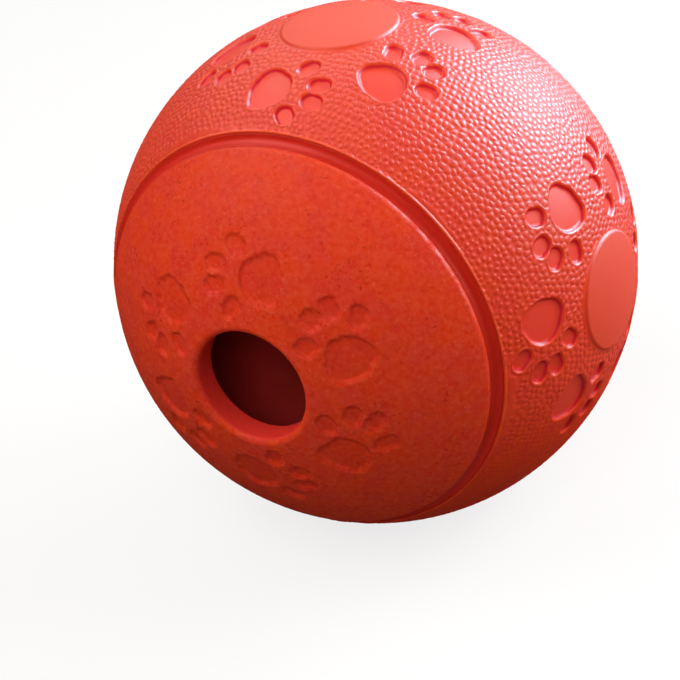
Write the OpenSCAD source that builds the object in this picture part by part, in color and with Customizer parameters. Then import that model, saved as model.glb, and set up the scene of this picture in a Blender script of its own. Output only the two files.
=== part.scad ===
// Treat dispensing ball in natural rubber, with a labyrinth inside.
// The shell is a pebbled band between two caps, joined at a recessed ring on each side.
// Origin: centre of the ball. The treat hole looks along -Y, and +Z is up.
// The modules draw the ball with the hole's axis along +Z, and as_it_lies() turns it over.

/* [Ball] */
// Outside diameter of the ball's skin
ball_d = 110; // [100:1:125]
// Thickness of the rubber shell
wall = 6; // [5:0.5:7]

/* [Treat hole] */
// Diameter of the hole that treats go in by and fall out of
hole_d = 24; // [18:1:30]
// Radius of the rounded lip round the hole
hole_lip = 1.2; // [0.6:0.1:1.8]

/* [Groove] */
// Angle between the hole's axis and the groove's sharp edge, seen from the ball's centre
groove_angle = 54.6; // [53:0.2:57]
// Depth of the groove below the skin
groove_depth = 1.2; // [0.8:0.1:1.3]
// Width of the groove's flat floor
groove_floor = 2.6; // [2:0.1:3.2]
// Radius of the cap's rounded shoulder beside the groove
shoulder_r = 1.4; // [1.3:0.1:2]

/* [Joint between band and cap] */
// Thickness of each labyrinth plate, which is clamped between the band's ledge and the cap's skirt
plate_t = 3; // [2:0.5:4]
// Width of the band's ledge that carries a labyrinth plate
ledge_w = 2.6; // [2.2:0.1:2.8]
// Width of the cement ring that fills the joint under the groove
ring_w = 2.3; // [1.8:0.1:2.8]
// Gap between pieces that slip into each other before they are cemented
slip = 0.1; // [0.05:0.05:0.2]

/* [Labyrinth] */
// Diameter of the port in each labyrinth plate
port_d = 22; // [16:1:23]
// Distance of each port's centre from the hole's axis
port_reach = 26; // [24:0.5:28]
// Thickness of the two crossed walls
divider_t = 3; // [2:0.5:4]
// Depth of the slots in the plates that the crossed walls stand in
slot_depth = 1; // [0.5:0.1:1.2]
// Diameter of the windows in the crossed walls
window_d = 22; // [16:1:23]
// Distance of each window's centre from the hole's axis
window_reach = 24; // [22:0.5:26]
// Distance of each window's centre from the ball's middle plane
window_rise = 12; // [8:0.5:14]
// Gap between the crossed walls and the shell round them
divider_gap = 0.3; // [0.2:0.1:0.6]

/* [Faces] */
// Diameter of the plain round medallion in the middle of each closed face
medallion_d = 24.5; // [20:0.5:28]
// Height that a medallion stands above the skin
medallion_rise = 0.4; // [0.2:0.1:0.8]

/* [Paw prints] */
// Distance from a face's middle to the paw prints round it, along the skin
paw_ring = 23.6; // [22:0.2:25]
// Width of a paw's pad
pad_w = 10.8; // [8:0.2:12]
// Height of a paw's pad, towards the toes
pad_h = 8.8; // [7:0.2:10]
// Width of a toe
toe_w = 3.9; // [3:0.1:4.2]
// Length of a toe
toe_l = 5; // [4.4:0.1:5.4]
// Distance from the pad's middle to the two middle toes
toe_reach = 10.3; // [9.8:0.1:11]
// Depth of the paw prints in the band
paw_depth = 0.9; // [0.6:0.1:1.4]
// Depth of the softer paw prints in the caps
cap_paw_depth = 0.6; // [0.4:0.1:1]

/* [Hidden] */
$fn = 180;

// One overrun for every cut that runs past a face
over = 1;

// Spheres of the skin, the inside and the groove's floor
skin_r = ball_d / 2;
inner_r = skin_r - wall;
floor_r = skin_r - groove_depth;
hole_r = hole_d / 2;

// Where the band ends: its cone-shaped wall stands square to the skin
edge_r = floor_r * sin(groove_angle);
edge_z = floor_r * cos(groove_angle);

// The plate's seat, its far face and the cap's skirt
bore_r = edge_r;
seat_r = bore_r - ledge_w;
seat_z = sqrt(inner_r * inner_r - seat_r * seat_r);
plate_z = seat_z + plate_t;
skirt_r = bore_r - ring_w;

// Where the cap's shoulder leaves the skin: the arc runs down to the groove's floor
shoulder_run = sqrt(shoulder_r * shoulder_r - pow(shoulder_r - groove_depth, 2));
skin_degrees = 180 / (PI * skin_r);
shoulder_angle = groove_angle - (groove_floor + shoulder_run) * skin_degrees;
shoulder_path = skin_r - shoulder_r;

// Middle of the rounded lip of the treat hole
lip_path = skin_r - hole_lip;
lip_x = hole_r + hole_lip;
lip_z = sqrt(lip_path * lip_path - lip_x * lip_x);

// The crossed walls reach to the bottoms of the slots in the plates, with a port between two of them
divider_z = seat_z + slot_depth;
divider_r = inner_r - divider_gap;
port_angle = 45;

// Places of the paw prints and of the toes
PAWS = 6;
first_paw_angle = 20;
paw_turn = 8;
paw_angle = paw_ring * skin_degrees;
outer_toe_share = 0.82;
outer_toe_angle = 47;
middle_toe_angle = 12;
pad_top_share = 0.44;
pad_corner_share = 0.34;

// Circumferential faces, and the colours of the rubber
FACES = 4;
SKIN = [0.91, 0.29, 0.16];
CAP = [0.87, 0.28, 0.17];
SEAM = [0.83, 0.16, 0.1];
MAZE = [0.62, 0.12, 0.08];

// Turns the ball so that the hole's axis looks along -Y
module as_it_lies() {
    rotate([90, 0, 0]) children();
}

// Repeats a shape at the middle of each face round the band
module each_band_face() {
    for (k = [0 : FACES - 1]) rotate([90, 0, 90 + k * 360 / FACES]) children();
}

// A toe as seen on the skin, with its long axis along +Y
module toe_outline() {
    straight = toe_l - toe_w;
    for (s = [-1, 1]) translate([0, s * straight / 2]) circle(d = toe_w);
    square([toe_w, straight], center = true);
}

// The pad as seen on the skin: a round top and two rounded corners at the heel
module pad_outline() {
    top_r = pad_w * pad_top_share;
    corner_r = pad_h * pad_corner_share;
    top_y = pad_h / 2 - top_r;
    corner_x = pad_w / 2 - corner_r;
    corner_y = corner_r - pad_h / 2;
    translate([0, top_y]) circle(r = top_r);
    for (s = [-1, 1]) translate([s * corner_x, corner_y]) circle(r = corner_r);
    polygon([[-corner_x, -pad_h / 2], [corner_x, -pad_h / 2],
             [pad_w / 2, corner_y], [top_r, top_y], [-top_r, top_y], [-pad_w / 2, corner_y]]);
}

// A dent with a flat floor in the skin above the face's middle
module dent(depth) {
    translate([0, 0, skin_r - depth]) linear_extrude(height = depth + over) children();
}

// A toe of a paw print, tilted about the ball's centre so that it stands square to the skin
module toe_cut(depth, reach, angle) {
    rotate([-reach * skin_degrees, 0, angle]) dent(depth) toe_outline();
}

// One paw print: the pad, two middle toes and two outer ones
module paw_cut(depth) {
    dent(depth) pad_outline();
    for (s = [-1, 1]) {
        toe_cut(depth, toe_reach, s * middle_toe_angle);
        toe_cut(depth, toe_reach * outer_toe_share, s * outer_toe_angle);
    }
}

// The ring of paw prints round one face, each with its toes pointing on round the ring
module paw_ring_cut(depth) {
    for (k = [0 : PAWS - 1])
        rotate([0, paw_angle, first_paw_angle + k * 360 / PAWS]) rotate(paw_turn) paw_cut(depth);
}

// A medallion: a round patch of skin that stands a little proud
module medallion() {
    intersection() {
        sphere(r = skin_r + medallion_rise);
        translate([0, 0, inner_r + wall / 2]) cylinder(h = wall, d = medallion_d);
    }
}

// Half-plane shape from the ball's centre out past the skin, between the axis and an angle
module wedge(angle) {
    far = 2 * skin_r;
    polygon([[0, 0], [far * sin(angle), far * cos(angle)], [0, far]]);
}

// What is taken out of each end of the band: the plate's seat, the joint and the cone-shaped wall
module band_end_cut() {
    far_z = 2 * skin_r;
    rotate_extrude()
        polygon([[0, seat_z], [bore_r, seat_z], [bore_r, edge_z],
                 [far_z * tan(groove_angle), far_z], [0, far_z]]);
}

module band() {
    color(SKIN) as_it_lies() difference() {
        union() {
            sphere(r = skin_r);
            each_band_face() medallion();
        }
        sphere(r = inner_r);
        for (s = [0, 1]) mirror([0, 0, s]) band_end_cut();
        each_band_face() paw_ring_cut(paw_depth);
    }
}

// Half section of a cap: skin, rounded shoulder, groove floor and skirt
module cap_section() {
    difference() {
        union() {
            intersection() {
                circle(r = skin_r);
                wedge(shoulder_angle);
            }
            difference() {
                translate(shoulder_path * [sin(shoulder_angle), cos(shoulder_angle)]) circle(r = shoulder_r);
                circle(r = floor_r + slip);
            }
            intersection() {
                circle(r = floor_r);
                translate([0, plate_z]) square([skirt_r - slip, skin_r]);
            }
        }
        circle(r = inner_r);
    }
}

// What is taken off round the treat hole so that its lip is rounded
module lip_section() {
    far = (skin_r + over) / lip_path;
    difference() {
        polygon([[hole_r - over, lip_z], [lip_x, lip_z], far * [lip_x, lip_z], [hole_r - over, far * lip_z]]);
        translate([lip_x, lip_z]) circle(r = hole_lip);
    }
}

module front_cap() {
    color(CAP) as_it_lies() difference() {
        rotate_extrude() cap_section();
        cylinder(h = skin_r + over, d = hole_d);
        rotate_extrude() lip_section();
        paw_ring_cut(cap_paw_depth);
    }
}

module rear_cap() {
    color(CAP) as_it_lies() rotate([180, 0, 0]) difference() {
        union() {
            rotate_extrude() cap_section();
            medallion();
        }
        paw_ring_cut(cap_paw_depth);
    }
}

// Ring of cured rubber cement between skirt and band, whose top is the floor of the groove
module joint_ring() {
    rotate_extrude()
        intersection() {
            circle(r = floor_r);
            translate([skirt_r, plate_z]) square([ring_w - slip, skin_r]);
        }
}

module front_joint_ring() {
    color(SEAM) as_it_lies() joint_ring();
}

module rear_joint_ring() {
    color(SEAM) as_it_lies() rotate([180, 0, 0]) joint_ring();
}

// Round plate with one port, and two crossed slots that the dividers stand in
module labyrinth_plate() {
    slot_l = 2 * divider_r;
    difference() {
        translate([0, 0, seat_z]) cylinder(h = plate_t, r = bore_r - slip);
        rotate(port_angle) translate([port_reach, 0, seat_z - over]) cylinder(h = plate_t + 2 * over, d = port_d);
        for (a = [0, 90])
            rotate(a) translate([-slot_l / 2, -divider_t / 2 - slip, seat_z - over])
                cube([slot_l, divider_t + 2 * slip, slot_depth + over]);
    }
}

module front_labyrinth_plate() {
    color(MAZE) as_it_lies() labyrinth_plate();
}

module rear_labyrinth_plate() {
    color(MAZE) as_it_lies() rotate([180, 0, 0]) labyrinth_plate();
}

// One of the two crossed walls, in the plane of the hole's axis, before its windows are cut
module divider_blank() {
    intersection() {
        rotate([90, 0, 0]) translate([0, 0, -divider_t / 2]) cylinder(h = divider_t, r = divider_r);
        cube([2 * divider_r, 2 * divider_t, 2 * divider_z], center = true);
    }
}

// Half-depth slot in the middle of a divider, open towards +Z
module halving_slot() {
    slot_w = divider_t + 2 * slip;
    translate([-slot_w / 2, -divider_t, -slip]) cube([slot_w, 2 * divider_t, divider_z + over]);
}

// Round window through a divider
module window_cut(x, z) {
    translate([x, divider_t, z]) rotate([90, 0, 0]) cylinder(h = 2 * divider_t, d = window_d);
}

module long_divider() {
    color(MAZE) as_it_lies() difference() {
        divider_blank();
        halving_slot();
        window_cut(-window_reach, -window_rise);
    }
}

module cross_divider() {
    color(MAZE) as_it_lies() rotate(90) difference() {
        divider_blank();
        mirror([0, 0, 1]) halving_slot();
        for (s = [-1, 1]) window_cut(s * window_reach, window_rise);
    }
}

band();
front_cap();
rear_cap();
front_joint_ring();
rear_joint_ring();
front_labyrinth_plate();
rear_labyrinth_plate();
long_divider();
cross_divider();
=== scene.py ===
"""Treat dispensing ball: a hollow rubber ball with a pebbled band between two caps, and a labyrinth inside.

The sections follow the ball as it is put together, from the labyrinth out to the shell.
Lengths are in metres.
"""

import bpy
import numpy as np
from mathutils import Matrix, Vector


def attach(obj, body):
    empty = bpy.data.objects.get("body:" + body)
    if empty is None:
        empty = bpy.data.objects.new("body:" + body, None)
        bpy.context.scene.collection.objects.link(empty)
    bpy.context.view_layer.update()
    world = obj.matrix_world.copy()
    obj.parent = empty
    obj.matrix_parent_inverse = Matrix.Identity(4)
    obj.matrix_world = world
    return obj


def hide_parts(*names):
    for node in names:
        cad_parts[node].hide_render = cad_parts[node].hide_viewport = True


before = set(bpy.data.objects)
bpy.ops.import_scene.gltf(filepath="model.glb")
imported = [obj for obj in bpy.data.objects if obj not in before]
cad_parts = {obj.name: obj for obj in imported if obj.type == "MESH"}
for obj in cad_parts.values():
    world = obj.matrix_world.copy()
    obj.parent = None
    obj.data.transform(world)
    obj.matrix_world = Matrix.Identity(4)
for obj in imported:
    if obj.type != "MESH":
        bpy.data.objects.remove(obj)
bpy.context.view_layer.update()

# Labyrinth: two round plates with a port each, and two crossed walls with windows, which stand in slots
# of the plates. They are pressed from natural rubber, a darker red than the shell's, and pushed in before
# the ball is closed.

LABYRINTH_NODES = ("front_labyrinth_plate", "rear_labyrinth_plate", "long_divider", "cross_divider")


class Wire:
    """An output of a shader node. Python's operators on it add the Math nodes of an expression."""

    def __init__(self, tree, socket):
        self.tree, self.socket = tree, socket

    def math(self, operation, *terms):
        return self.tree.node("Math", {"operation": operation}, dict(enumerate(terms)))

    def __add__(self, other):
        return self.math("ADD", self, other)

    def __radd__(self, other):
        return self.math("ADD", other, self)

    def __sub__(self, other):
        return self.math("SUBTRACT", self, other)

    def __rsub__(self, other):
        return self.math("SUBTRACT", other, self)

    def __mul__(self, other):
        return self.math("MULTIPLY", self, other)

    def __rmul__(self, other):
        return self.math("MULTIPLY", other, self)

    def step(self, low, high):
        """0 below low, 1 above high, and a smooth step between them."""
        limits = {"Value": self, "From Min": low, "From Max": high}
        return self.tree.node("MapRange", {"interpolation_type": "SMOOTHSTEP"}, limits)

    def tint(self, plain, tinted):
        """The colour plain where this is 0, and the colour tinted where it is 1."""
        return self.tree.node("Mix", {"data_type": "RGBA"}, {0: self, 6: plain, 7: tinted}, output=2)


class Tree:
    """A node tree. node() adds a node, makes its settings, and feeds its sockets values or links."""

    def __init__(self, tree):
        self.tree = tree

    def node(self, kind, settings=None, sockets=None, output=0):
        node = self.tree.nodes.new("ShaderNode" + kind)
        for name, setting in (settings or {}).items():
            setattr(node, name, setting)
        self.feed(node, sockets or {})
        return Wire(self, node.outputs[output])

    def feed(self, node, sockets):
        for key, value in sockets.items():
            if isinstance(value, Wire):
                self.tree.links.new(value.socket, node.inputs[key])
            else:
                node.inputs[key].default_value = value


def shade(red, green, blue):
    """The scene's linear colour for a display colour that is given from 0 to 255."""
    display = np.array([red, green, blue]) / 255
    linear = np.where(display <= 0.04045, display / 12.92, ((display + 0.055) / 1.055) ** 2.4)
    return (*linear, 1.0)


class Rubber(Tree):
    """A rubber: its principled shader, and wires to a piece's own shares and to noise over its place."""

    def __init__(self, name, specular, **constants):
        self.material = bpy.data.materials.new(name)
        self.material.use_nodes = True
        super().__init__(self.material.node_tree)
        self.shader = self.tree.nodes["Principled BSDF"]
        self.feed(self.shader, {"Specular IOR Level": specular, **constants})
        self.place = self.node("TexCoord", output="Object")

    def share(self, attribute):
        """A share from 0 to 1 that the piece's mesh holds for each of its points."""
        return self.node("Attribute", {"attribute_name": attribute}, output="Fac")

    def noise(self, grain, detail=2.0):
        """Smooth noise from 0 to 1 with features of a size."""
        return self.node("TexNoise", {}, {"Vector": self.place, "Scale": 1 / grain, "Detail": detail})

    def finish(self, colour, roughness, height, depth, shine=0.0):
        """Colour, roughness, and a fine bump: a height of 0 to 1 times a depth.

        The share shine of the surface has a full gloss, and the rest has the rubber's own specular level.
        """
        normal = self.node("Bump", {}, {"Height": height, "Distance": depth, "Strength": 1.0})
        skin = {"Base Color": colour, "Roughness": roughness, "Normal": normal}
        self.feed(self.shader, skin)
        if shine:
            matt = Wire(self, self.shader.outputs[0])
            glossy = self.node("BsdfPrincipled", {}, skin)
            mixed = self.node("MixShader", {}, {0: shine, 1: matt, 2: glossy})
            self.feed(self.tree.nodes["Material Output"], {"Surface": mixed})
        return self.material


LABYRINTH_RED = shade(160, 40, 36)
LABYRINTH_CLOUD = shade(176, 45, 40)


def labyrinth_rubber():
    """A darker rubber in soft clouds of two reds."""
    rubber = Rubber("labyrinth_rubber", specular=0.2)
    clouds = rubber.noise(grain=0.012).step(0.35, 0.7)
    colour = clouds.tint(LABYRINTH_RED, LABYRINTH_CLOUD)
    roughness = rubber.noise(grain=0.004) * 0.15 + 0.42
    return rubber.finish(colour, roughness, height=rubber.noise(grain=0.0006), depth=0.00005)


labyrinth_material = labyrinth_rubber()
for node in LABYRINTH_NODES:
    for material_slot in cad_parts[node].material_slots:
        material_slot.material = labyrinth_material

# Band: the moulded middle of the shell, glossy natural rubber with a pebbled skin, open at both ends.
# Four plain medallions and the rings of paw prints round them are moulded in, one to each quarter.
# At each end a cone-shaped wall, a bore and a ledge take a plate and a cap, which is cemented in.

SKIN_RADIUS = 0.055
INSIDE_RADIUS = 0.049
INSIDE_POINTS = 15
GROOVE_DEPTH = 0.0012
GROOVE_FLOOR_RADIUS = SKIN_RADIUS - GROOVE_DEPTH
GROOVE_ANGLE = np.radians(54.6)
LEDGE_WIDTH = 0.0026
BORE_RADIUS = GROOVE_FLOOR_RADIUS * np.sin(GROOVE_ANGLE)
LEDGE_INNER_RADIUS = BORE_RADIUS - LEDGE_WIDTH
LEDGE_DEPTH = np.sqrt(INSIDE_RADIUS**2 - LEDGE_INNER_RADIUS**2)

EDGE_ROUNDING = 0.00025
EDGE_ZONE = 0.0012
EDGE_STEP = 0.00012
BAND_STEP = 0.000268

PEBBLE_PITCH = 0.00136
PEBBLE_ROW = 0.00148
PEBBLE_HEIGHT = 0.0002
PEBBLE_TOP_SHARE = 0.8
PEBBLE_GAP = 0.03
WIDE_GAP = 0.24
WIDE_GAP_REACH = 0.011
PEBBLE_JITTER = 0.66
PEBBLE_LEAST_SIZE = 0.75
PEBBLE_WEAR = 0.78
PEBBLE_MARGIN = 0.0005
PEBBLE_FADE = 0.0013
PAW_MARGIN = 0.0001
PAW_FADE = 0.0005
MEDALLION_MARGIN = 0.0003
MEDALLION_FADE = 0.0006

# The patch where the ball is rubbed down: the direction of its middle, the cosines where it starts and
# where it is full, and the shares of the pebbles and of the flash that it takes away.
RUBBED_PATCH = (0.543, -0.238, -0.805)
RUBBED_FROM = 0.74
RUBBED_FULL = 0.90
RUBBED_PEBBLES = 0.5
RUBBED_FLASH = 0.6

# A brink is the share of a medallion's edge, or of a paw's wall, that lies outside its outline.
MEDALLION_RADIUS = 0.01225
MEDALLION_RISE = 0.0004
MEDALLION_EDGE = 0.00045
MEDALLION_BRINK = 0.2

# Each toe's place is its degrees round the pad from the paw's front, and its reach from the pad.
PAWS = 6
PAW_RING = 0.0236
FIRST_PAW_DEGREES = 20
PAW_TURN_DEGREES = 8
PAD_TOP = (0.0, -0.00035, 0.00475)
PAD_HEEL = (0.00241, -0.00141, 0.00299)
PAD_BLEND = 0.0006
TOE_HALF_STRAIGHT = 0.00055
TOE_RADIUS = 0.00195
TOE_PLACES = ((12, 0.0103), (-12, 0.0103), (47, 0.00845), (-47, 0.00845))
PAW_DEPTH = 0.00095
PAW_WALL = 0.00075
PAW_BRINK = 0.3

FLASH_HEIGHT = 0.0002
FLASH_WIDTH = 0.00027
FLASH_EVENNESS = 0.55
CREVICE_DEPTH = 0.00016
CREVICE_PLACE = 0.0008

# Unevenness of the moulding, as terms of a height or share, the length of its waves, and a salt of its own.
PAW_WANDER = ((0.0001, 0.0019, 6),)
MARGIN_WANDER = ((0.0028, 0.028, 4), (0.0009, 0.0046, 3), (0.0005, 0.002, 12))
WEAR_WANDER = ((0.22, 0.021, 1), (0.12, 0.006, 7))
GAP_WANDER = ((0.5, 0.017, 9),)
FLASH_WANDER = ((0.45, 0.0035, 5),)
CREVICE_WANDER = ((1.0, 0.0028, 8),)

BAND_RED = shade(222, 63, 28)
BAND_CLOUD = shade(220, 58, 35)
# Painted sheen: a pinker red over the paws' dents.
DENT_PAINTED_SHEEN_RED = shade(232, 66, 52)
MEDALLION_RED = shade(220, 70, 34)
# Painted light on the dents' shoulders.
DENT_SHOULDER_PAINTED_LIGHT = shade(240, 74, 14)
# Painted shade on the dents' walls.
DENT_WALL_PAINTED_SHADE = shade(204, 8, 48)
# Painted shade at the pebbles' feet.
PEBBLE_FOOT_PAINTED_SHADE = shade(166, 12, 24)
# Painted highlight along the flash.
FLASH_PAINTED_HIGHLIGHT = shade(246, 92, 38)


def toward(polar, longitude):
    """Unit direction at a polar angle from the hole's axis, -Y, and a longitude from +X towards +Z."""
    polar, longitude = np.broadcast_arrays(polar, longitude)
    sine = np.sin(polar)
    return np.stack([sine * np.cos(longitude), -np.cos(polar), sine * np.sin(longitude)], axis=-1)


def smooth_step(value):
    """0 below 0, 1 above 1, and 3 v^2 - 2 v^3 between them."""
    value = np.clip(value, 0, 1)
    return value * value * (3 - 2 * value)


def scatter(row, column, salt):
    """A repeatable number from 0 to 1 for a lattice point: the fraction of a large multiple of a sine."""
    return np.modf(np.abs(np.sin(row * 12.9898 + column * 78.233 + salt * 37.719)) * 43758.5453)[0]


def waves(direction, size, salt):
    """Variation from -1 to 1 over the ball: the mean of six sine waves of one length, each its own way."""
    turns = np.arange(6) + salt
    axes = np.stack([np.sin(turns * 2.4), np.cos(turns * 1.7), np.sin(turns * 4.1 + 1)], axis=-1)
    axes /= np.linalg.norm(axes, axis=-1, keepdims=True)
    return np.sin(direction @ axes.T * (2 * np.pi * SKIN_RADIUS / size) + turns * 5.3).mean(axis=-1)


def wander(direction, terms):
    """The sum of an unevenness's terms: each height or share times waves of its own length and salt."""
    return sum(height * waves(direction, size, salt) for height, size, salt in terms)


def pebbles(polar, longitude, gap):
    """Height of the pebbles from 0 on the ground between them to 1 on the tops.

    Jittered points lie on rows of constant polar angle. With F1 and F2 the distances to the nearest two,
    e = (F2 - F1) / (F2 + F1) is 0 midway between two pebbles and 1 on a pebble's point. A pebble stands
    where e is over the gap g. With c = (e - g) / (1 - g) its dome is 1 - (1 - c)^3, times its own size.
    """
    row_angle = PEBBLE_ROW / SKIN_RADIUS
    nearest = np.full(polar.shape, np.inf)
    second = nearest.copy()
    size = np.zeros(polar.shape)
    middle_row = np.round(polar / row_angle)
    for row in (middle_row + offset for offset in (-2, -1, 0, 1, 2)):
        count = np.round(2 * np.pi * np.sin(row * row_angle) * SKIN_RADIUS / PEBBLE_PITCH)
        shift = 0.5 * (row % 2)
        middle_column = np.round(longitude / (2 * np.pi) * count - shift)
        for column in (middle_column + offset for offset in (-2, -1, 0, 1, 2)):
            drawn = [scatter(row, column % count, salt) for salt in (1, 2, 3)]
            point_polar = (row + PEBBLE_JITTER * (drawn[0] - 0.5)) * row_angle
            point_longitude = (column + shift + PEBBLE_JITTER * (drawn[1] - 0.5)) * 2 * np.pi / count
            across = np.sin(polar) * (longitude - point_longitude)
            distance = SKIN_RADIUS * np.hypot(polar - point_polar, across)
            closer = distance < nearest
            second = np.where(closer, nearest, np.minimum(second, distance))
            nearest = np.where(closer, distance, nearest)
            size = np.where(closer, drawn[2], size)
    edge_share = (second - nearest) / (second + nearest)
    climb = np.clip((edge_share - gap) / (1 - gap), 0, 1)
    return (1 - (1 - climb) ** 3) * (PEBBLE_LEAST_SIZE + (1 - PEBBLE_LEAST_SIZE) * size)


def turn(axis, degrees):
    """Matrix that turns a frame about one of its own axes."""
    first, then = {"x": (1, 2), "y": (2, 0), "z": (0, 1)}[axis]
    cosine, sine = np.cos(np.radians(degrees)), np.sin(np.radians(degrees))
    matrix = np.eye(3)
    matrix[first, first] = matrix[then, then] = cosine
    matrix[then, first], matrix[first, then] = sine, -sine
    return matrix


def pad_distance(x, y):
    """Distance outside a paw's pad: the smooth minimum of a round top and a wide rounded heel."""
    top = np.hypot(x - PAD_TOP[0], y - PAD_TOP[1]) - PAD_TOP[2]
    heel = np.hypot(np.maximum(np.abs(x) - PAD_HEEL[0], 0), y - PAD_HEEL[1]) - PAD_HEEL[2]
    share = np.clip(0.5 + 0.5 * (heel - top) / PAD_BLEND, 0, 1)
    return heel * (1 - share) + top * share - PAD_BLEND * share * (1 - share)


def toe_distance(x, y):
    """Distance outside a toe: a short straight with round ends."""
    return np.hypot(x, np.maximum(np.abs(y) - TOE_HALF_STRAIGHT, 0)) - TOE_RADIUS


def paw_distance(direction, face):
    """Distance along the skin to the nearest pad or toe of a face's paws, less than 0 inside them."""
    nearest = np.full(direction.shape[:-1], np.inf)
    degrees = np.degrees(1 / SKIN_RADIUS)
    for paw in range(PAWS):
        pad = face @ turn("z", FIRST_PAW_DEGREES + paw * 360 / PAWS) @ turn("y", PAW_RING * degrees)
        pad = pad @ turn("z", PAW_TURN_DEGREES)
        toes = [pad @ turn("z", angle) @ turn("x", -reach * degrees) for angle, reach in TOE_PLACES]
        for outline, place in [(pad_distance, pad)] + [(toe_distance, toe) for toe in toes]:
            x, y, height = np.moveaxis(SKIN_RADIUS * direction @ place, -1, 0)
            nearest = np.minimum(nearest, np.where(height > 0, outline(x, y), np.inf))
    return nearest


def quads(rows, columns, close_rows, close_columns):
    """Outward faces of a grid of points, each from a point to the next row, the next column and back."""
    index = np.arange(rows * columns).reshape(rows, columns)
    index = np.vstack([index, index[:1]]) if close_rows else index
    index = np.hstack([index, index[:, :1]]) if close_columns else index
    corners = [index[:-1, :-1], index[1:, :-1], index[1:, 1:], index[:-1, 1:]]
    return np.stack(corners, axis=-1).reshape(-1, 4)


def make_piece(name, points, sides, smooth, ends, material, nodes, attributes=None):
    """A piece from its points, its grid sides with their smooth flags, and its flat or fanned ends."""
    mesh = bpy.data.meshes.new(name)
    loops = np.concatenate([sides.ravel(), *[np.ravel(end) for end in ends]])
    sizes = np.array([4] * len(sides) + [len(end) for end in ends])
    mesh.vertices.add(len(points))
    mesh.vertices.foreach_set("co", points.astype(np.float32).ravel())
    mesh.loops.add(len(loops))
    mesh.loops.foreach_set("vertex_index", loops.astype(np.int32))
    mesh.polygons.add(len(sizes))
    mesh.polygons.foreach_set("loop_start", (np.cumsum(sizes) - sizes).astype(np.int32))
    smooth_ends = np.array([len(end) == 3 for end in ends], bool)
    mesh.polygons.foreach_set("use_smooth", np.concatenate([smooth, smooth_ends]))
    for attribute, values in (attributes or {}).items():
        layer = mesh.attributes.new(attribute, "FLOAT", "POINT")
        layer.data.foreach_set("value", values.astype(np.float32).ravel())
    mesh.update(calc_edges=True)
    mesh.materials.append(material)
    piece = bpy.data.objects.new(name, mesh)
    bpy.context.scene.collection.objects.link(piece)
    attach(piece, "root")
    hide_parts(*nodes)
    return piece


def band_section():
    """Radius, polar angle and relief of each point round the band's wall, from its front edge over the skin
    and back by the inside, and how many of the points are on the skin and on the inside.

    The edges are quarter circles from the cone-shaped wall to the skin. The relief is 1 on the skin, falls
    to 0 over an edge's rounding, and is 0 on the ends and the inside.
    """
    round_turn = np.radians([90, 60, 30])
    edge_radius = SKIN_RADIUS - EDGE_ROUNDING * (1 - np.cos(round_turn))
    edge_polar = GROOVE_ANGLE + EDGE_ROUNDING * (1 - np.sin(round_turn)) / SKIN_RADIUS
    fine = GROOVE_ANGLE + np.arange(EDGE_ROUNDING, EDGE_ZONE, EDGE_STEP) / SKIN_RADIUS
    coarse_from = GROOVE_ANGLE + EDGE_ZONE / SKIN_RADIUS
    count = int(np.ceil((np.pi - 2 * coarse_from) * SKIN_RADIUS / BAND_STEP))
    coarse = np.linspace(coarse_from, np.pi - coarse_from, count)
    skin_polar = np.concatenate([fine, coarse, np.pi - fine[::-1]])
    inside_turn = np.arctan2(LEDGE_INNER_RADIUS, LEDGE_DEPTH)
    inside = np.linspace(np.pi - inside_turn, inside_turn, INSIDE_POINTS)
    wall = np.array([GROOVE_FLOOR_RADIUS, np.hypot(BORE_RADIUS, LEDGE_DEPTH)])
    wall_polar = np.array([GROOVE_ANGLE, np.arctan2(BORE_RADIUS, LEDGE_DEPTH)])
    radius = np.concatenate([edge_radius, np.full(len(skin_polar), SKIN_RADIUS), edge_radius[::-1],
                             wall, np.full(len(inside), INSIDE_RADIUS), wall[::-1]])
    polar = np.concatenate([edge_polar, skin_polar, np.pi - edge_polar[::-1],
                            np.pi - wall_polar, inside, wall_polar[::-1]])
    relief = np.concatenate([np.cos(round_turn), np.ones(len(skin_polar)), np.cos(round_turn[::-1]),
                             np.zeros(2 * len(wall) + len(inside))])
    return radius, polar, relief, len(skin_polar) + 2 * len(round_turn), len(inside)


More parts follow.
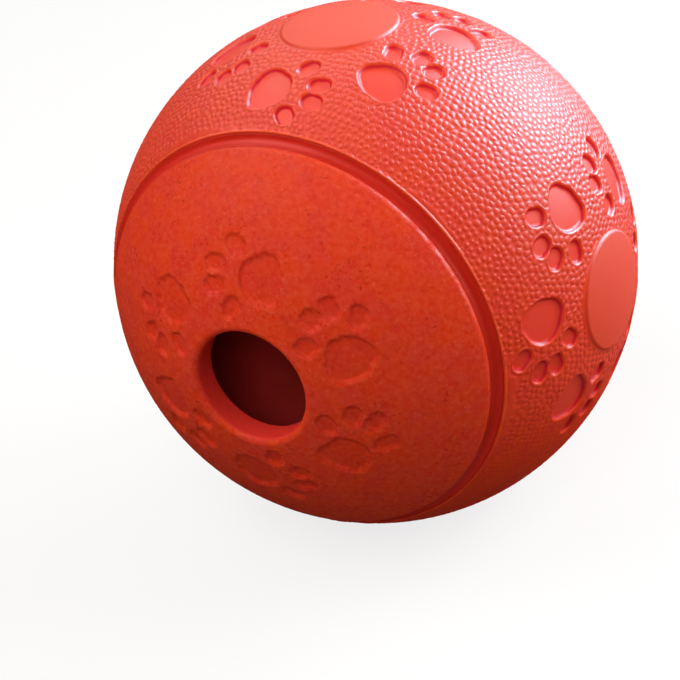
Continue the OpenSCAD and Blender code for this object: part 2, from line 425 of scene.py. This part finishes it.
def band_skin(direction, polar, longitude, face):
    """Height over the band's smooth skin, and the shares from 0 to 1 that its rubber is finished by.

    The height is the pebbles' own, less the paws' dents, plus the medallion and the flash along the edge,
    less the crevice beside it. The pebbles fade out by smooth steps towards the edge, the paws and the
    medallion. The flash and the crevice are bell curves of the distance d from the edge, with a place p
    and a width w: exp(-((d - p) / w)^2).
    """
    from_middle = SKIN_RADIUS * np.arccos(np.clip(direction @ face[:, 2], -1, 1))
    from_edge = SKIN_RADIUS * (np.minimum(polar, np.pi - polar) - GROOVE_ANGLE)
    paw = paw_distance(direction, face) + wander(direction, PAW_WANDER)
    dented = smooth_step(PAW_BRINK - paw / PAW_WALL)
    medallion = smooth_step((MEDALLION_RADIUS - from_middle) / MEDALLION_EDGE + MEDALLION_BRINK)
    near_patch = (direction @ RUBBED_PATCH - RUBBED_FROM) / (RUBBED_FULL - RUBBED_FROM)
    rubbed = smooth_step(near_patch) * (1 - dented)

    pebbled = smooth_step((from_edge - PEBBLE_MARGIN + wander(direction, MARGIN_WANDER)) / PEBBLE_FADE)
    pebbled = pebbled * smooth_step((paw - PAW_MARGIN) / PAW_FADE)
    pebbled = pebbled * smooth_step((from_middle - MEDALLION_RADIUS - MEDALLION_MARGIN) / MEDALLION_FADE)
    pebbled = pebbled * (1 - RUBBED_PEBBLES * rubbed)
    near_edge = smooth_step(1 - from_edge / WIDE_GAP_REACH + wander(direction, GAP_WANDER))
    pebble = pebbles(polar, longitude % (2 * np.pi), PEBBLE_GAP + WIDE_GAP * near_edge)
    worn = PEBBLE_WEAR + wander(direction, WEAR_WANDER)

    flash = np.exp(-(((from_edge - FLASH_WIDTH) / FLASH_WIDTH) ** 2))
    flash = flash * (FLASH_EVENNESS + wander(direction, FLASH_WANDER)) * (1 - RUBBED_FLASH * rubbed)
    crevice = np.exp(-(((from_edge - CREVICE_PLACE) / FLASH_WIDTH) ** 2))
    crevice = crevice * smooth_step(0.5 + wander(direction, CREVICE_WANDER))
    height = (
        PEBBLE_HEIGHT * worn * pebbled * (pebble - PEBBLE_TOP_SHARE)
        - PAW_DEPTH * dented
        + MEDALLION_RISE * medallion
        + FLASH_HEIGHT * flash
        - CREVICE_DEPTH * crevice
    )
    shares = {"valley": pebbled * (1 - pebble), "dented": dented, "medallion": medallion,
              "edge": flash, "rubbed": rubbed}
    return height, shares


def band_quarter(name, face_longitude, material):
    """A quarter of the band round the face at a longitude, with flat ends where it meets its neighbours.

    The skin is worked out one column past both ends, so that the shading runs on into the next quarter.
    """
    radius, polar, relief, skin_rows, inside_rows = band_section()
    rows = len(radius)
    columns = int(np.ceil(np.pi / 2 * SKIN_RADIUS / BAND_STEP))
    longitude = face_longitude + np.pi / 2 * (np.arange(-1, columns + 1) / (columns - 1) - 0.5)
    direction = toward(polar[:, None], longitude[None, :])
    across = [-np.sin(face_longitude), 0, np.cos(face_longitude)]
    out = [np.cos(face_longitude), 0, np.sin(face_longitude)]
    face = np.stack([across, [0, -1, 0], out], axis=-1)
    skin_grid = np.broadcast_arrays(polar[:skin_rows, None], longitude[None, :])
    skin_height, skin_shares = band_skin(direction[:skin_rows], *skin_grid, face)

    height = np.zeros((rows, columns + 2))
    height[:skin_rows] = skin_height * relief[:skin_rows, None]
    points = (radius[:, None] + height)[..., None] * direction
    shares = {}
    for share, values in skin_shares.items():
        shares[share] = np.zeros((rows, columns))
        shares[share][:skin_rows] = values[:, 1:-1]

    sides = quads(rows, columns, close_rows=True, close_columns=False)
    row_of_side = np.arange(rows).repeat(columns - 1)
    inside_from = skin_rows + (rows - skin_rows - inside_rows) // 2
    smooth = row_of_side < skin_rows - 1
    smooth |= (row_of_side >= inside_from) & (row_of_side < inside_from + inside_rows - 1)
    section = np.arange(rows) * columns
    ends = [section[::-1], section + columns - 1]
    piece = make_piece(name, points[:, 1:-1].reshape(-1, 3), sides, smooth, ends, material,
                       ["band"], shares)
    end_normals(piece.data, points[:skin_rows], rows, columns)


def end_normals(mesh, skin, rows, columns):
    """Shades the skin at a quarter's two ends with the cross product of its slopes down and across the end.

    Each end has its column of points, its column of sides, and two corners of those sides, upper and lower.
    """
    down = np.gradient(skin, axis=0)
    normals = np.zeros((len(mesh.loops), 3))
    corners = normals[:rows * (columns - 1) * 4].reshape(rows, columns - 1, 4, 3)
    for end, side, upper, lower in ((1, 0, 0, 1), (-2, -1, 3, 2)):
        normal = np.cross(down[:, end], skin[:, end + 1] - skin[:, end - 1])
        normal /= np.linalg.norm(normal, axis=-1, keepdims=True)
        corners[:len(skin) - 1, side, upper] = normal[:-1]
        corners[:len(skin) - 1, side, lower] = normal[1:]
    mesh.normals_split_custom_set(normals)


def band_rubber():
    """Tints, roughness and fine relief of the band, each over what lies under it.

    The rim of a dent is its shoulder, and the steep part under that its wall. A pebble's foot is where the
    valley beside it starts. The dents get a pinker tint as painted sheen, their shoulders an orange as
    painted light, and their walls and the pebbles' feet a crimson as painted shade. The flash along the
    edge gets a painted highlight. The rubbed patch has little gloss.
    """
    rubber = Rubber("band_rubber", specular=0.0)
    valley, dented, medallion, edge, rubbed = (
        rubber.share(attribute) for attribute in ("valley", "dented", "medallion", "edge", "rubbed")
    )
    # The shoulder mask carries painted light, and the wall and foot masks carry painted shade.
    shoulder = dented.step(0.02, 0.2) * (1 - dented.step(0.25, 0.5))
    wall = dented.step(0.3, 0.55) * (1 - dented.step(0.85, 1.0))
    foot = valley.step(0.35, 0.8) * (1 - valley.step(0.9, 1.0) * 0.6)
    flash = edge.step(0.15, 0.6)
    clouds = rubber.noise(grain=0.005, detail=3.0).step(0.35, 0.65)

    colour = clouds.tint(BAND_RED, BAND_CLOUD)
    # Painted sheen: the dents are tinted pinker.
    colour = (dented * 0.5).tint(colour, DENT_PAINTED_SHEEN_RED)
    colour = (medallion * 0.6).tint(colour, MEDALLION_RED)
    # Painted light on the dents' shoulders, and painted shade on their walls.
    colour = (shoulder * 0.6).tint(colour, DENT_SHOULDER_PAINTED_LIGHT)
    colour = (wall * 0.8).tint(colour, DENT_WALL_PAINTED_SHADE)
    # Painted shade at the pebbles' feet.
    colour = (foot * 0.12).tint(colour, PEBBLE_FOOT_PAINTED_SHADE)
    # Painted highlight along the flash.
    colour = (flash * 0.5).tint(colour, FLASH_PAINTED_HIGHLIGHT)
    roughness = rubber.noise(grain=0.002) * 0.08 + 0.35 + foot * 0.25
    roughness = roughness + dented * 0.05 + medallion * 0.2 + flash * 0.3
    pores = rubber.noise(grain=0.0004, detail=3.0) * 0.2
    height = pores + (1 - valley) * 0.5 + (1 - valley.step(0.3, 0.75)) * 0.3
    return rubber.finish(colour, roughness, height, depth=0.00008, shine=0.15 - rubbed * 0.12)


band_material = band_rubber()
BAND_QUARTERS = {"band_right": 0, "band_top": 90, "band_left": 180, "band_bottom": 270}
for quarter, longitude in BAND_QUARTERS.items():
    band_quarter(quarter, np.radians(longitude), band_material)

# Joint rings: rubber cement that fills the joint between the band and each cap.
# It is wiped smooth, so its top is the sunken floor of the groove, drawn up a little against both walls.

PLATE_THICKNESS = 0.003
RING_WIDTH = 0.0023
SLIP = 0.0001
PLATE_FACE = LEDGE_DEPTH + PLATE_THICKNESS
SKIRT_RADIUS = BORE_RADIUS - RING_WIDTH
RING_COLUMNS = 480
GROOVE_FLOOR_WIDTH = 0.0026
SHOULDER_RADIUS = 0.0014
SHOULDER_RUN = np.sqrt(SHOULDER_RADIUS**2 - (SHOULDER_RADIUS - GROOVE_DEPTH) ** 2)
SHOULDER_ANGLE = GROOVE_ANGLE - (GROOVE_FLOOR_WIDTH + SHOULDER_RUN) / SKIN_RADIUS
SHOULDER_PATH = SKIN_RADIUS - SHOULDER_RADIUS

# The fillets are the cement that is drawn up on both sides of the floor, on the shoulder and on the wall.
SHOULDER_FILLET_HEIGHT = 0.00055
WALL_FILLET_HEIGHT = 0.0009
FILLET_SLIP = 0.00002
FILLET_TUCK_ANGLE = 0.008
FILLET_POWER = 2.4
CEMENT_WANDER = ((0.00005, 0.009, 11),)
TOP_POINTS = 15
LEAN_POINTS = 4

# The cement's own reds, set darker than the band partly as painted shade in the groove.
CEMENT_RED_AND_GROOVE_SHADE = shade(200, 36, 18)
CEMENT_CLOUD_AND_GROOVE_SHADE = shade(204, 40, 26)


def outward(polar):
    """Unit direction (across, along) in a section, at a polar angle from the hole's axis."""
    return np.stack([np.sin(polar), np.cos(polar)], axis=-1)


def shoulder_turn(radius):
    """Turn round the shoulder's circle, from straight out, to where it has come down to a radius.

    The law of cosines gives it from the ball's middle, the middle of the shoulder's circle and the point.
    """
    beyond = radius**2 - SHOULDER_PATH**2 - SHOULDER_RADIUS**2
    return np.arccos(beyond / (2 * SHOULDER_PATH * SHOULDER_RADIUS))


def revolve(section, columns):
    """A section of points (across, along) turned round the hole's axis: radii, directions and longitudes.

    Across is the distance from the axis, and along is towards the hole.
    """
    longitude = np.arange(columns) * 2 * np.pi / columns
    direction = toward(np.arctan2(*section.T)[:, None], longitude[None, :])
    return np.hypot(*section.T), direction, longitude


def joint_ring(name, side, material, node):
    """A ring whose top is a smooth hollow between the cap's shoulder and the band's wall.

    The top is a line between its two tips, lowered towards the groove's floor by the share 1 - |2s - 1|^p,
    where s goes from 0 to 1 across it and p is the fillets' power. From its tips the ring follows the
    shoulder's circle and the cone-shaped wall down to its own body.
    """
    lean_from = shoulder_turn(GROOVE_FLOOR_RADIUS + SLIP)
    lean_to = shoulder_turn(GROOVE_FLOOR_RADIUS + SHOULDER_FILLET_HEIGHT)
    lean = outward(SHOULDER_ANGLE + np.linspace(lean_from, lean_to, LEAN_POINTS))
    lean = SHOULDER_PATH * outward(SHOULDER_ANGLE) + (SHOULDER_RADIUS + FILLET_SLIP) * lean
    tips = np.array([[np.hypot(*lean[-1]), np.arctan2(*lean[-1])],
                     [GROOVE_FLOOR_RADIUS + WALL_FILLET_HEIGHT, GROOVE_ANGLE - FILLET_SLIP / SKIN_RADIUS]])
    share = np.linspace(0, 1, TOP_POINTS)[:, None]
    radius, polar = (tips[0] * (1 - share) + tips[1] * share).T
    lowered = 1 - np.abs(2 * share[:, 0] - 1) ** FILLET_POWER
    radius = radius - (radius - GROOVE_FLOOR_RADIUS + FILLET_SLIP) * lowered
    top = radius[:, None] * outward(polar)

    body = SKIRT_RADIUS + RING_WIDTH - SLIP
    under = [[SKIRT_RADIUS, np.sqrt(GROOVE_FLOOR_RADIUS**2 - SKIRT_RADIUS**2)],
             GROOVE_FLOOR_RADIUS * outward(np.arctan2(*lean[0]) - FILLET_TUCK_ANGLE)]
    outside = [[body, np.sqrt(GROOVE_FLOOR_RADIUS**2 - body**2)],
               [body, PLATE_FACE],
               [SKIRT_RADIUS, PLATE_FACE]]
    section = np.concatenate([under, lean[:-1], top, outside])
    tip = len(under) + len(lean) - 1
    top_rows = np.arange(tip, tip + len(top) - 1)
    free = np.zeros(len(section))
    free[tip + 1:tip + len(top) - 2] = 1
    if side < 0:
        section = section[::-1] * (1, -1)
        free = free[::-1]
        top_rows = len(section) - 2 - top_rows

    radius, direction, _ = revolve(section, RING_COLUMNS)
    lift = wander(direction, CEMENT_WANDER) * free[:, None]
    points = (radius[:, None] + lift)[..., None] * direction
    sides = quads(len(section), RING_COLUMNS, close_rows=True, close_columns=True)
    smooth = np.isin(np.arange(len(section)), top_rows).repeat(RING_COLUMNS)
    make_piece(name, points.reshape(-1, 3), sides, smooth, [], material, [node])


def joint_cement():
    """Dull cement in soft clouds of two dark reds, set darker than the band partly as painted shade in the
    groove.
    """
    cement = Rubber("joint_cement", specular=0.06)
    clouds = cement.noise(grain=0.006).step(0.3, 0.7)
    colour = clouds.tint(CEMENT_RED_AND_GROOVE_SHADE, CEMENT_CLOUD_AND_GROOVE_SHADE)
    roughness = cement.noise(grain=0.003) * 0.1 + 0.42
    return cement.finish(colour, roughness, height=cement.noise(grain=0.0009), depth=0.00004)


cement_material = joint_cement()
joint_ring("groove_floor_front", 1, cement_material, "front_joint_ring")
joint_ring("groove_floor_rear", -1, cement_material, "rear_joint_ring")

# Caps: the moulded ends of the shell, in a duller rubber with a fine grain and soft paw prints.
# A rounded shoulder stands beside the groove, and a skirt cemented into the band clamps the plate.
# The front cap has the treat hole with its rounded lip, and the rear cap a plain medallion.

HOLE_RADIUS = 0.012
LIP_RADIUS = 0.0012
INNER_LIP_RADIUS = 0.0006
THROAT_EDGE = 0.0004
CAP_STEP = 0.00031
CAP_COLUMNS = {"front": 590, "rear": 520}
CAP_PAW_DEPTH = 0.00065
CAP_PAW_WALL = 0.0012
CAP_PAW_WANDER = ((0.0004, 0.0016, 6), (0.0005, 0.005, 10))
CAP_GRAIN_WANDER = ((0.00004, 0.0011, 2), (0.00003, 0.0007, 9))
POLISHED_LONGITUDE = np.radians(32)
POLISHED_REACH = np.radians(48)

CAP_RED = shade(227, 58, 18)
CAP_CLOUD = shade(223, 53, 32)
GRAIN_PINK = shade(250, 130, 100)
STAIN_RED = shade(188, 30, 18)
CRUMB_PINK = shade(246, 124, 96)
SPECK_RED = shade(178, 22, 8)
MOULDED_RED = shade(212, 46, 28)
# Painted shade on the walls round the cap's paws.
CAP_WALL_PAINTED_SHADE = shade(170, 22, 16)
# Painted shade in the hole's throat, in a red of its own.
THROAT_PAINTED_SHADE = shade(228, 54, 44)


def arc(centre, radius, start, stop, count):
    """Points (across, along) on a circle between two angles, counted from the hole's axis outwards."""
    return np.array(centre) + radius * outward(np.radians(np.linspace(start, stop, count)))


def cap_section(open_hole):
    """Section of a cap as (across, along): the throat, the skin, the shoulder, the skirt and the inside.

    With it come which points are on the skin and on the shoulder, and which sides are smooth, counted by
    their first points. A cap without a hole has no throat, and its skin and inside stop short of the axis.
    """
    skin_from = 0.0
    inside_to = 0.0
    throat = np.zeros((0, 2))
    if open_hole:
        lip_path = SKIN_RADIUS - LIP_RADIUS
        lip_across = HOLE_RADIUS + LIP_RADIUS
        lip = (lip_across, np.sqrt(lip_path**2 - lip_across**2))
        skin_from = np.degrees(np.arcsin(lip_across / lip_path))
        inner_path = INSIDE_RADIUS + INNER_LIP_RADIUS
        inner_across = HOLE_RADIUS + INNER_LIP_RADIUS
        inner_lip = (inner_across, np.sqrt(inner_path**2 - inner_across**2))
        inside_to = np.degrees(np.arcsin(inner_across / inner_path))
        throat = np.concatenate([arc(inner_lip, INNER_LIP_RADIUS, 180 + inside_to, 270, count=6),
                                 arc(lip, LIP_RADIUS, -90, skin_from, count=12)])
    turned = np.degrees(SHOULDER_ANGLE)
    skin_count = int(np.ceil(np.radians(turned - skin_from) * SKIN_RADIUS / CAP_STEP))
    skin = arc((0, 0), SKIN_RADIUS, skin_from, turned, skin_count + 1)[1:]
    under_radius = GROOVE_FLOOR_RADIUS + SLIP
    sweep = np.degrees(shoulder_turn(under_radius))
    shoulder_middle = SHOULDER_PATH * outward(SHOULDER_ANGLE)
    shoulder = arc(shoulder_middle, SHOULDER_RADIUS, turned, turned + sweep, count=14)[1:]
    skirt = SKIRT_RADIUS - SLIP
    under_from = np.degrees(np.arctan2(*shoulder[-1]))
    under = arc((0, 0), under_radius, under_from, np.degrees(np.arcsin(skirt / under_radius)), count=4)[1:]
    foot = np.array([[skirt, PLATE_FACE]])
    inside_from = np.degrees(np.arccos(PLATE_FACE / INSIDE_RADIUS))
    inside = arc((0, 0), INSIDE_RADIUS, inside_from, inside_to, INSIDE_POINTS)[:-1]

    pieces = [throat, skin, shoulder, under, foot, inside]
    kind = np.arange(len(pieces)).repeat([len(piece) for piece in pieces])
    flat_from = len(throat) + len(skin) + len(shoulder) - 1
    flat = np.arange(flat_from, flat_from + len(under) + len(foot) + 1)
    return np.concatenate(pieces), kind == 1, kind == 2, np.setdiff1d(np.arange(len(kind)), flat)


def cap_skin(direction, face, medallion):
    """Height over a cap's smooth skin, and how far each point is on a paw's floor or a medallion's top.

    The height is a fine grain, less the paws' soft dents, plus the medallion, if the cap has one.
    """
    paw = paw_distance(direction, face) + wander(direction, CAP_PAW_WANDER)
    dented = smooth_step(PAW_BRINK - paw / CAP_PAW_WALL)
    from_middle = SKIN_RADIUS * np.arccos(np.clip(direction @ face[:, 2], -1, 1))
    raised = smooth_step((MEDALLION_RADIUS - from_middle) / MEDALLION_EDGE + MEDALLION_BRINK) * medallion
    grain = wander(direction, CAP_GRAIN_WANDER)
    height = grain * (1 - raised) - CAP_PAW_DEPTH * dented + MEDALLION_RISE * raised
    return height, np.maximum(dented, raised)


def cap_shell(section, on_skin, on_shoulder, face, medallion, columns):
    """Points of a cap, its moulded share, and the polish of its shoulder.

    The polish is most at one longitude, where the ball rubs, and 0 from a reach on both sides of it.
    """
    radius, direction, longitude = revolve(section, columns)
    height, moulded = np.zeros((2, len(section), columns))
    height[on_skin], moulded[on_skin] = cap_skin(direction[on_skin], face, medallion)
    points = ((radius[:, None] + height)[..., None] * direction).reshape(-1, 3)
    from_polished = np.abs((longitude - POLISHED_LONGITUDE + np.pi) % (2 * np.pi) - np.pi)
    crest = on_shoulder[:, None] * smooth_step(1 - from_polished / POLISHED_REACH)
    return points, moulded.ravel(), crest.ravel()


def front_cap(material):
    """The cap with the treat hole. Its rows of points close on themselves through the throat."""
    section, on_skin, on_shoulder, smooth_rows = cap_section(open_hole=True)
    rows, columns = len(section), CAP_COLUMNS["front"]
    face = np.stack([[1, 0, 0], [0, 0, 1], [0, -1, 0]], axis=-1)
    points, moulded, crest = cap_shell(section, on_skin, on_shoulder, face, 0, columns)
    # The throat share carries the painted shade in the hole.
    throat = smooth_step((HOLE_RADIUS + THROAT_EDGE - section[:, 0]) / THROAT_EDGE).repeat(columns)
    sides = quads(rows, columns, close_rows=True, close_columns=True)
    smooth = np.isin(np.arange(rows), smooth_rows).repeat(columns)
    make_piece("cap_front", points, sides, smooth, [], material, ["front_cap"],
               {"moulded": moulded, "throat": throat, "crest": crest})


def rear_cap(material):
    """The closed cap: its section faces the rear, with a fan of triangles to a pole inside and outside."""
    section, on_skin, on_shoulder, smooth_rows = cap_section(open_hole=False)
    rows, columns = len(section), CAP_COLUMNS["rear"]
    face = np.stack([[1, 0, 0], [0, 0, -1], [0, 1, 0]], axis=-1)
    points, moulded, crest = cap_shell(
        section[::-1] * (1, -1), on_skin[::-1], on_shoulder[::-1], face, 1, columns)
    poles = np.array([[0, INSIDE_RADIUS, 0], [0, SKIN_RADIUS + MEDALLION_RISE, 0]])
    sides = quads(rows, columns, close_rows=False, close_columns=True)
    smooth = np.isin(rows - 2 - np.arange(rows - 1), smooth_rows).repeat(columns)
    inner_pole, outer_pole = rows * columns + np.arange(2)
    outer_ring = (rows - 1) * columns
    ring = np.arange(columns)
    pairs = list(zip(ring, np.roll(ring, -1)))
    fans = [(inner_pole, first, second) for first, second in pairs]
    fans += [(outer_ring + first, outer_pole, outer_ring + second) for first, second in pairs]
    moulded = np.append(moulded, [0, 1])
    make_piece("cap_rear", np.concatenate([points, poles]), sides, smooth, fans, material,
               ["rear_cap"],
               {"moulded": moulded, "throat": np.zeros(len(moulded)), "crest": np.append(crest, [0, 0])})


def cap_rubber():
    """Tints, roughness, polish and fine relief of the caps, each over what lies under it.

    The rubber holds pale grains and crumbs, darker stains, and dark specks in loose flocks. The moulded
    parts are a little deeper in colour. The walls round them are darker still as painted shade, and the
    hole's throat is painted another red, which stands for the shade in the hole.
    """
    rubber = Rubber("cap_rubber", specular=0.0, **{"Coat Roughness": 0.5})
    moulded, throat, crest = (rubber.share(attribute) for attribute in ("moulded", "throat", "crest"))
    clouds = rubber.noise(grain=0.005, detail=3.0).step(0.36, 0.64)
    grains = rubber.noise(grain=0.0011, detail=4.0)
    stains = rubber.noise(grain=0.0019, detail=3.0).step(0.58, 0.7)
    fine = rubber.noise(grain=0.00075, detail=1.0)
    flocks = rubber.noise(grain=0.007, detail=3.0).step(0.45, 0.65)
    crumbs = 1 - fine.step(0.27, 0.38)
    specks = fine.step(0.6, 0.72) * flocks
    # The wall mask carries painted shade.
    wall = moulded.step(0.05, 0.3) * (1 - moulded.step(0.4, 0.8))

    colour = clouds.tint(CAP_RED, CAP_CLOUD)
    colour = (grains.step(0.3, 0.7) * 0.12).tint(colour, GRAIN_PINK)
    colour = (stains * 0.22).tint(colour, STAIN_RED)
    colour = (crumbs * 0.17).tint(colour, CRUMB_PINK)
    colour = (specks * 0.6).tint(colour, SPECK_RED)
    colour = (moulded * 0.25).tint(colour, MOULDED_RED)
    # Painted shade on the walls round the paws.
    colour = (wall * 0.2).tint(colour, CAP_WALL_PAINTED_SHADE)
    # Painted shade in the hole's throat.
    colour = throat.tint(colour, THROAT_PAINTED_SHADE)
    roughness = rubber.noise(grain=0.0012) * 0.16 + 0.46 - moulded * 0.05
    polish = rubber.noise(grain=0.0012, detail=4.0).step(0.35, 0.7)
    rubber.feed(rubber.shader, {"Coat Weight": crest * polish * 0.4})
    pores = rubber.noise(grain=0.0005, detail=3.0) * 0.5
    height = pores + grains * 0.5 + crumbs * 0.2 - specks * 0.15
    return rubber.finish(colour, roughness, height, depth=0.00018, shine=0.07)


cap_material = cap_rubber()
front_cap(cap_material)
rear_cap(cap_material)

# Studio: a plain white floor that the ball rests on, a soft pale room, soft lamps and the camera.
# The floor and the room are white where they are seen, and shed only a dim grey light on the ball.

FLOOR_HEIGHT = -(SKIN_RADIUS + MEDALLION_RISE)
FLOOR_REACH = 3.0
FLOOR_GREY = 0.21
ROOM_LIGHT = 0.02

CAMERA_RIGHT = Vector((0.8761, 0.4626, -0.1359))
CAMERA_UP = Vector((-0.1072, 0.4616, 0.8806))
CAMERA_BACK = Vector((0.4701, -0.7569, 0.4540))
CAMERA_DISTANCE = 0.55
CAMERA_LENS = 138.3
CAMERA_SHIFT = (-0.0532, -0.1162)


def camera_turn():
    """Rotation whose columns are the camera's right, its up and its way back."""
    return Matrix((CAMERA_RIGHT, CAMERA_UP, CAMERA_BACK)).transposed()


def seen_directly(tree):
    """1 for what is seen, by itself, in a reflection or through glass, and 0 for light on a surface."""
    camera = tree.node("LightPath", output="Is Camera Ray")
    glossy = tree.node("LightPath", output="Is Glossy Ray")
    through = tree.node("LightPath", output="Is Transmission Ray")
    return camera.math("MAXIMUM", camera, glossy.math("MAXIMUM", glossy, through))


def floor_material():
    """A grey matt floor, with a glow that makes it up to white where it is seen."""
    material = bpy.data.materials.new("studio_floor")
    material.use_nodes = True
    nodes = material.node_tree.nodes
    nodes.remove(nodes["Principled BSDF"])
    tree = Tree(material.node_tree)
    lit = tree.node("BsdfDiffuse", {}, {"Color": (FLOOR_GREY, FLOOR_GREY, FLOOR_GREY, 1)})
    strength = seen_directly(tree) * (1 - FLOOR_GREY)
    glow = tree.node("Emission", {}, {"Color": (1, 1, 1, 1), "Strength": strength})
    both = tree.node("AddShader", {}, {0: lit, 1: glow})
    tree.feed(nodes["Material Output"], {"Surface": both})
    return material


floor_mesh = bpy.data.meshes.new("studio_floor")
floor_corners = ((-FLOOR_REACH, -FLOOR_REACH), (FLOOR_REACH, -FLOOR_REACH),
                 (FLOOR_REACH, FLOOR_REACH), (-FLOOR_REACH, FLOOR_REACH))
floor_mesh.from_pydata([(x, y, FLOOR_HEIGHT) for x, y in floor_corners], [], [(0, 1, 2, 3)])
floor_mesh.materials.append(floor_material())
floor = bpy.data.objects.new("studio_floor", floor_mesh)
bpy.context.scene.collection.objects.link(floor)

world = bpy.data.worlds.new("studio_room")
bpy.context.scene.world = world
world.use_nodes = True
room = Tree(world.node_tree)
room_strength = seen_directly(room) * (1 - ROOM_LIGHT) + ROOM_LIGHT
room.feed(world.node_tree.nodes["Background"], {"Color": (1, 1, 1, 1), "Strength": room_strength})

# Each lamp: where it stands, right, up and back of the ball as the camera sees it, its size, its power and
# its colour. The sheens are the bright hearts of the lights. They are seen in the gloss of the rubber and
# add no other light.
DAYLIGHT = (0.88, 0.93, 1.0)
SKY = (0.42, 0.82, 1.0)
WARM = (1.0, 0.95, 0.88)
LAMPS = {
    "window": ((0.49, 0.46, -0.08), 0.55, 3.4, DAYLIGHT),
    "window_sheen": ((0.42, 0.46, -0.11), 0.40, 96.0, SKY),
    "side_sheen": ((0.62, 0.16, 0.24), 0.12, 3.1, WARM),
    "top_sheen": ((-0.21, 0.62, -0.20), 0.50, 11.5, WARM),
    "left_sheen": ((-0.44, 0.48, 0.30), 0.50, 13.0, WARM),
    "top": ((-0.10, 0.66, -0.18), 0.50, 0.75, WARM),
    "front_left": ((-0.52, 0.40, 0.32), 0.60, 3.0, WARM),
    "front": ((-0.12, 0.13, 0.67), 0.36, 1.95, WARM),
    "side": ((0.58, 0.35, 0.17), 0.50, 3.4, WARM),
}
for name, (place, size, power, colour) in LAMPS.items():
    light = bpy.data.lights.new(name, "AREA")
    light.size, light.energy, light.color = size, power, colour
    lamp = bpy.data.objects.new(name, light)
    lamp.visible_diffuse = not name.endswith("sheen")
    position = camera_turn() @ Vector(place)
    lamp.location = position
    lamp.rotation_mode = "QUATERNION"
    lamp.rotation_quaternion = position.to_track_quat("Z", "Y")
    bpy.context.scene.collection.objects.link(lamp)

camera_data = bpy.data.cameras.new("camera")
camera_data.lens = CAMERA_LENS
camera_data.shift_x, camera_data.shift_y = CAMERA_SHIFT
camera_data.clip_start, camera_data.clip_end = 0.01, 10
camera = bpy.data.objects.new("camera", camera_data)
camera.matrix_world = Matrix.Translation(CAMERA_BACK * CAMERA_DISTANCE) @ camera_turn().to_4x4()
bpy.context.scene.collection.objects.link(camera)
bpy.context.scene.camera = camera
bpy.context.scene.view_settings.view_transform = "Standard"
